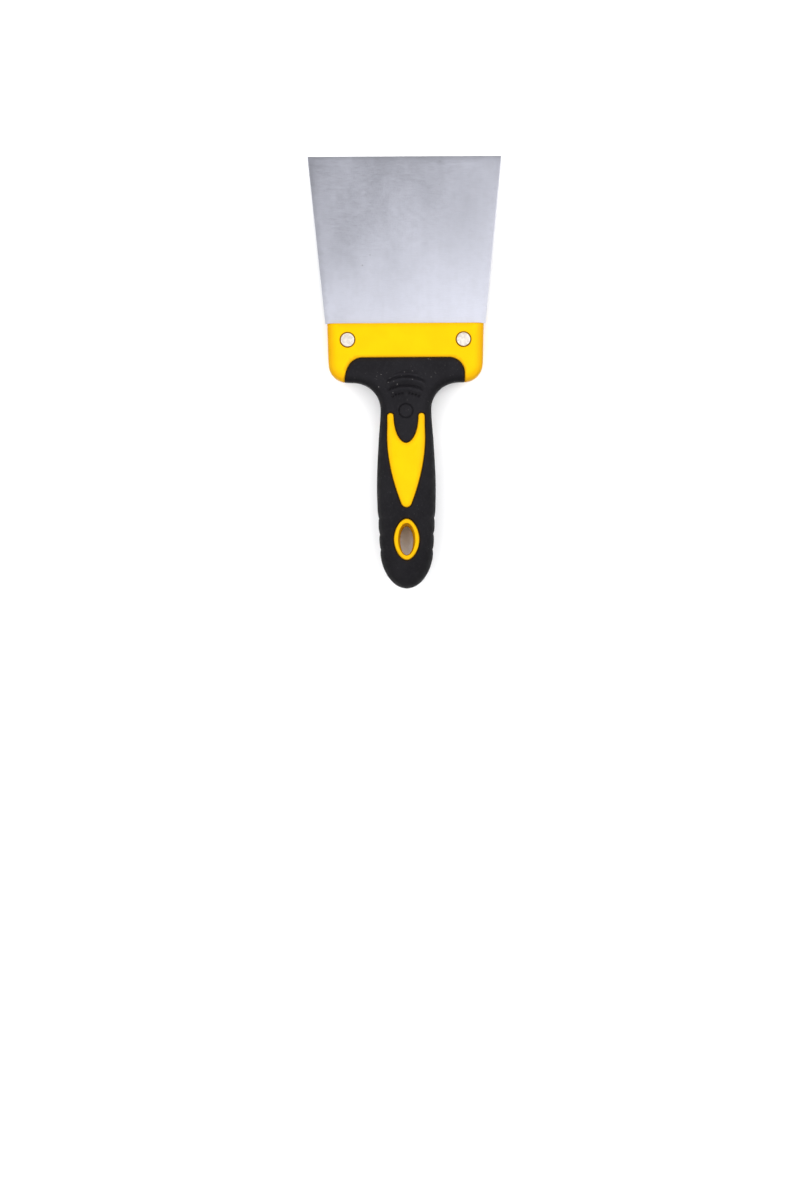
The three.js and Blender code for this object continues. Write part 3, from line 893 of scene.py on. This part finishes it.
# Linear colours. A pair is the darker and the lighter of a mottling.
YELLOW = (0.79, 0.425, 0.0003), (0.82, 0.452, 0.0004)
YELLOW_SCUFF = (0.70, 0.31, 0.003)
# Painted shade for the core's rounded edges
YELLOW_EDGE_PAINTED_SHADE = (0.45, 0.222, 0.0003)
# Painted shade for the core's gaps, counterbores and hang hole
CORE_PAINTED_SHADE = (0.32, 0.155, 0.006)
RUBBER = (0.0128, 0.0120, 0.0143), (0.0178, 0.0170, 0.0199)
RUBBER_RUBBED = (0.030, 0.029, 0.032)
# Painted shade for the rubber
RUBBER_PAINTED_SHADE = (0.0008, 0.0007, 0.0009)
RUBBER_STAIN = (0.014, 0.007, 0.0004)
DUST = (0.16, 0.155, 0.15)
STEEL = (0.515, 0.525, 0.592), (0.56, 0.57, 0.643)
STEEL_BLOTCH = (0.47, 0.475, 0.53)
STEEL_PIT = (0.22, 0.22, 0.24)
STEEL_EDGE = (0.30, 0.30, 0.33)
NICKEL = (0.56, 0.51, 0.46), (0.74, 0.70, 0.63)
ZINC = (0.42, 0.42, 0.42), (0.55, 0.54, 0.52)
PAPER = (0.95, 0.95, 0.95), (0.97, 0.97, 0.97)


class Nodes:
    """A material's node tree, built call by call. Coordinates are object ones, in metres."""

    def __init__(self, name):
        self.material = bpy.data.materials.new(name)
        self.material.use_nodes = True
        self.tree = self.material.node_tree
        self.shader = self.tree.nodes["Principled BSDF"]
        self.place = self.tree.nodes.new("ShaderNodeTexCoord").outputs["Object"]

    def add(self, kind, settings=None, **inputs):
        node = self.tree.nodes.new(kind)
        for key, value in (settings or {}).items():
            setattr(node, key, value)
        for key, value in inputs.items():
            self.feed(node.inputs[key.replace("_", " ")], value)
        return node

    def feed(self, socket, value):
        if isinstance(value, bpy.types.NodeSocket):
            self.tree.links.new(value, socket)
        else:
            socket.default_value = value

    def stretched(self, x, y, z):
        mapping = self.add("ShaderNodeMapping", Vector=self.place)
        mapping.inputs["Scale"].default_value = (x, y, z)
        return mapping.outputs["Vector"]

    def noise(self, scale, detail=3.0, rough=0.5, place=None):
        node = self.add("ShaderNodeTexNoise", Vector=place or self.place, Scale=scale, Detail=detail,
                        Roughness=rough)
        return node.outputs["Fac"]

    def share(self, label):
        """A tone that the mesh carries at each point."""
        return self.add("ShaderNodeAttribute", {"attribute_name": label}).outputs["Fac"]

    def ramp(self, value, low, high, out_low=0.0, out_high=1.0):
        """An eased step from out_low to out_high as the value goes from low to high."""
        settings = {"clamp": True, "interpolation_type": "SMOOTHSTEP"}
        node = self.add("ShaderNodeMapRange", settings, Value=value)
        for key, number in zip(("From Min", "From Max", "To Min", "To Max"), (low, high, out_low, out_high)):
            node.inputs[key].default_value = number
        return node.outputs["Result"]

    def maths(self, operation, a, b=0.0):
        node = self.add("ShaderNodeMath", {"operation": operation})
        self.feed(node.inputs[0], a)
        self.feed(node.inputs[1], b)
        return node.outputs[0]

    def mix(self, share, a, b):
        node = self.add("ShaderNodeMix", {"data_type": "RGBA"})
        self.feed(node.inputs[0], share)
        self.feed(node.inputs[6], a if isinstance(a, bpy.types.NodeSocket) else (*a, 1))
        self.feed(node.inputs[7], b if isinstance(b, bpy.types.NodeSocket) else (*b, 1))
        return node.outputs[2]

    def bump(self, height, strength, depth, below=None):
        node = self.add("ShaderNodeBump", Height=height, Strength=strength, Distance=depth)
        if below:
            self.feed(node.inputs["Normal"], below)
        return node.outputs["Normal"]

    def set(self, **inputs):
        for key, value in inputs.items():
            self.feed(self.shader.inputs[key.replace("_", " ")], value)
        return self.material


def yellow_plastic():
    """Moulded plastic, a little scuffed, with painted shade on its rounded edges, and with painted shade and
    a rougher finish round the rivets, along its gaps and down the hang hole.
    """
    n = Nodes("core_yellow")
    mottled = n.ramp(n.noise(90, 4), 0.35, 0.7)
    colour = n.mix(mottled, *YELLOW)
    scuffed = n.ramp(n.noise(900, 4, 0.65), 0.62, 0.74)
    colour = n.mix(n.maths("MULTIPLY", scuffed, 0.2), colour, YELLOW_SCUFF)
    # painted shade on the core's rounded edges and round the V
    colour = n.mix(n.share("edge"), colour, YELLOW_EDGE_PAINTED_SHADE)
    # painted shade round the rivets, in the gaps along the seam, the V and the top edge, and down the hang
    # hole
    colour = n.mix(n.share("painted_shade"), colour, CORE_PAINTED_SHADE)
    fine = n.bump(n.noise(2600, 2), 0.25, 0.00004)
    wavy = n.bump(n.noise(60, 2), 0.3, 0.0002, fine)
    # rougher where the shade is painted
    rough = n.maths("ADD", n.ramp(n.noise(240, 4), 0.3, 0.7, 0.34, 0.46), n.share("painted_shade"))
    rough = n.maths("MINIMUM", rough, 1.0)
    return n.set(Base_Color=colour, Roughness=rough, Normal=wavy, Specular_IOR_Level=0.045)


def black_rubber():
    """Matt rubber with a fine stipple, rubbed paler in places, with a few specks of dust."""
    n = Nodes("grip_black")
    cloudy = n.ramp(n.noise(70, 4), 0.3, 0.7)
    colour = n.mix(cloudy, *RUBBER)
    rubbed = n.ramp(n.noise(700, 5, 0.7), 0.5, 0.66)
    colour = n.mix(n.maths("MULTIPLY", rubbed, 0.35), colour, RUBBER_RUBBED)
    # painted shade and painted highlights on the rubber, from the shade tone
    colour = n.mix(n.share("shade"), RUBBER_PAINTED_SHADE, colour)
    colour = n.mix(n.maths("MULTIPLY", n.share("stain"), 0.6), colour, RUBBER_STAIN)
    cells = n.add("ShaderNodeTexVoronoi", Vector=n.place, Scale=520.0).outputs["Distance"]
    rare = n.ramp(n.noise(160, 2), 0.48, 0.58)
    specks = n.maths("MULTIPLY", n.ramp(cells, 0.09, 0.17, 1, 0), rare)
    colour = n.mix(n.maths("MULTIPLY", specks, n.share("dust")), colour, DUST)
    stipple = n.bump(n.noise(3800, 2, 0.6), 0.45, 0.00006)
    uneven = n.bump(n.noise(130, 3), 0.25, 0.00025, stipple)
    rough = n.ramp(n.noise(300, 4), 0.3, 0.7, 0.5, 0.64)
    return n.set(Base_Color=colour, Roughness=rough, Normal=uneven, Specular_IOR_Level=0.05)


def ground_steel():
    """Sheet steel ground across its width, with blotches, a few pits and darker edges."""
    n = Nodes("blade_steel")
    lines = n.noise(260, 4, 0.65, n.stretched(1, 14, 14))
    streaks = n.noise(420, 3, 0.6, n.stretched(1, 0.06, 1))
    broad = n.noise(26, 3, 0.5, n.stretched(1.4, 0.8, 1))
    tone = n.maths("ADD", n.maths("MULTIPLY", lines, 0.5), n.maths("MULTIPLY", streaks, 0.15))
    tone = n.maths("ADD", tone, n.maths("MULTIPLY", broad, 0.35))
    colour = n.mix(n.ramp(tone, 0.36, 0.64), *STEEL)
    blotches = n.ramp(n.noise(240, 3, 0.6), 0.42, 0.68)
    colour = n.mix(n.maths("MULTIPLY", blotches, 0.22), colour, STEEL_BLOTCH)
    cells = n.add("ShaderNodeTexVoronoi", Vector=n.place, Scale=85.0).outputs["Distance"]
    rare = n.ramp(n.noise(60, 2), 0.5, 0.55)
    pits = n.maths("MULTIPLY", n.ramp(cells, 0.03, 0.065, 1, 0), rare)
    colour = n.mix(n.maths("MULTIPLY", pits, 0.7), colour, STEEL_PIT)
    colour = n.mix(n.maths("MULTIPLY", n.share("edge"), 0.45), colour, STEEL_EDGE)
    scratch = n.bump(n.noise(1500, 3, 0.6, n.stretched(0.5, 9, 9)), 0.22, 0.00003)
    rough = n.maths("ADD", n.ramp(lines, 0.3, 0.7, 0.3, 0.38), n.ramp(broad, 0.3, 0.7, 0.0, 0.05))
    grain = n.add("ShaderNodeTangent", {"direction_type": "UV_MAP", "uv_map": "grain"}).outputs[0]
    return n.set(Base_Color=colour, Metallic=1.0, Roughness=rough, Normal=scratch, Anisotropic=0.3,
                 Tangent=grain)


def bright_metal(name, pair, roughness):
    """Plated steel with fine dents, dull to one side."""
    n = Nodes(name)
    worn = n.ramp(n.noise(700, 5, 0.65), 0.35, 0.68)
    colour = n.mix(worn, *pair)
    tarnish = n.ramp(n.noise(9, 2), 0.35, 0.6)
    colour = n.mix(n.maths("MULTIPLY", tarnish, 0.25), colour, pair[0])
    dents = n.bump(n.noise(900, 3), 0.35, 0.00006)
    rough = n.ramp(n.noise(1100, 3), 0.3, 0.7, roughness, roughness + 0.14)
    return n.set(Base_Color=colour, Metallic=1.0, Roughness=rough, Normal=dents)


def table_paper():
    """A plain pale table, faintly uneven in tone."""
    n = Nodes("floor")
    shade = n.ramp(n.noise(2, 2), 0.3, 0.7)
    return n.set(Base_Color=n.mix(shade, *PAPER), Roughness=0.8)


# ---------------------------------------------------------------- camera, lights and floor

# Metres, degrees and watts per square metre and steradian
CAMERA_UP = 3.4
CAMERA_SHIFT = (-0.0035763, -0.1120747)  # from the tool's middle
CAMERA_TURN = -0.33
VIEW_HEIGHT = 0.6072  # of the picture, at the level of VIEW_LEVEL
VIEW_LEVEL = 0.006
SENSOR = 36
FLOOR_RADIUS = 6.0
FLOOR_DROP = 0.0002
SOFTBOX_PLACE = (0.014, 0.019, 0.427)
SOFTBOX_SIZE = (1.154, 0.18)
SOFTBOX_TURN = 25
SOFTBOX_RADIANCE = 1.95
# The room's brightness by height, from 0 at the horizon to 1 overhead
ROOM = [(0.0, 1.0), (0.06, 0.95), (0.14, 0.58), (0.4, 0.66),
        (0.52, 2.7), (0.7, 2.7), (0.84, 0.38), (1.0, 0.16)]
ROOM_BLUE = 1.01


def camera():
    """Straight above, with the tool in the upper half of a tall frame."""
    middle = (cad_box[0] + cad_box[1]) / 2
    data = bpy.data.cameras.new("camera")
    data.sensor_width = SENSOR
    data.lens = SENSOR * (CAMERA_UP - VIEW_LEVEL) / VIEW_HEIGHT
    data.clip_end = 100
    cam = bpy.data.objects.new("camera", data)
    bpy.context.scene.collection.objects.link(cam)
    cam.location = (middle.x + CAMERA_SHIFT[0], middle.y + CAMERA_SHIFT[1], CAMERA_UP)
    cam.rotation_euler = (0, 0, math.radians(CAMERA_TURN))
    bpy.context.scene.camera = cam


def softbox():
    """A level strip over the table, turned about the vertical. The camera sees through it."""
    data = bpy.data.lights.new("softbox", "AREA")
    data.shape = "RECTANGLE"
    data.size, data.size_y = SOFTBOX_SIZE
    data.energy = SOFTBOX_RADIANCE * math.pi * SOFTBOX_SIZE[0] * SOFTBOX_SIZE[1]
    light = bpy.data.objects.new("softbox", data)
    light.location = SOFTBOX_PLACE
    light.rotation_euler = (0, 0, math.radians(SOFTBOX_TURN))
    light.visible_camera = False
    bpy.context.scene.collection.objects.link(light)


def floor():
    mesh = bpy.data.meshes.new("floor")
    ring = arc((0, 0), FLOOR_RADIUS, 0, 360, 96)[:-1]
    mesh.from_pydata([(x, y, -FLOOR_DROP) for x, y in ring], [], [tuple(range(len(ring)))])
    obj = bpy.data.objects.new("floor", mesh)
    bpy.context.scene.collection.objects.link(obj)
    mesh.materials.append(table_paper())


def world():
    """A pale room, brightest at half height."""
    made = bpy.data.worlds.new("room")
    bpy.context.scene.world = made
    made.use_nodes = True
    tree = made.node_tree
    way = tree.nodes.new("ShaderNodeTexCoord")
    split = tree.nodes.new("ShaderNodeSeparateXYZ")
    ramp = tree.nodes.new("ShaderNodeValToRGB")
    tree.links.new(way.outputs["Generated"], split.inputs[0])
    tree.links.new(split.outputs["Z"], ramp.inputs[0])
    tree.links.new(ramp.outputs[0], tree.nodes["Background"].inputs["Color"])
    elements = ramp.color_ramp.elements
    for _ in ROOM[2:]:
        elements.new(0.5)
    for element, (place, level) in zip(elements, ROOM):
        element.position = place
        element.color = (level, level, level * ROOM_BLUE, 1)
    tree.nodes["Background"].inputs["Strength"].default_value = 1.0


def build():
    bpy.context.scene.view_settings.view_transform = "Standard"
    camera()
    world()
    floor()
    softbox()

    yellow, black = yellow_plastic(), black_rubber()
    plate = bright_metal("rivet_steel", NICKEL, 0.4)
    zinc = bright_metal("washer_steel", ZINC, 0.34)
    piece("blade_sheet", blade_shape(), ground_steel(), "blade", 20, {"edge": blade_edge})
    piece("core", join(head_shape(), v_shape(), eye_shape()), yellow, "handle_core",
          tones={"edge": core_edge_painted_shade, "painted_shade": core_painted_shade})
    piece("grip", grip_shape(), black, "soft_grip",
          tones={"shade": grip_painted_light, "dust": grip_dust, "stain": grip_stain})
    for side, x in (("left", -RIVET_X), ("right", RIVET_X)):
        piece(f"rivet_body_{side}", rivet_shape(x), plate, f"rivet_{side}")
        piece(f"washer_disc_{side}", washer_shape(x), zinc, f"washer_{side}")


build()
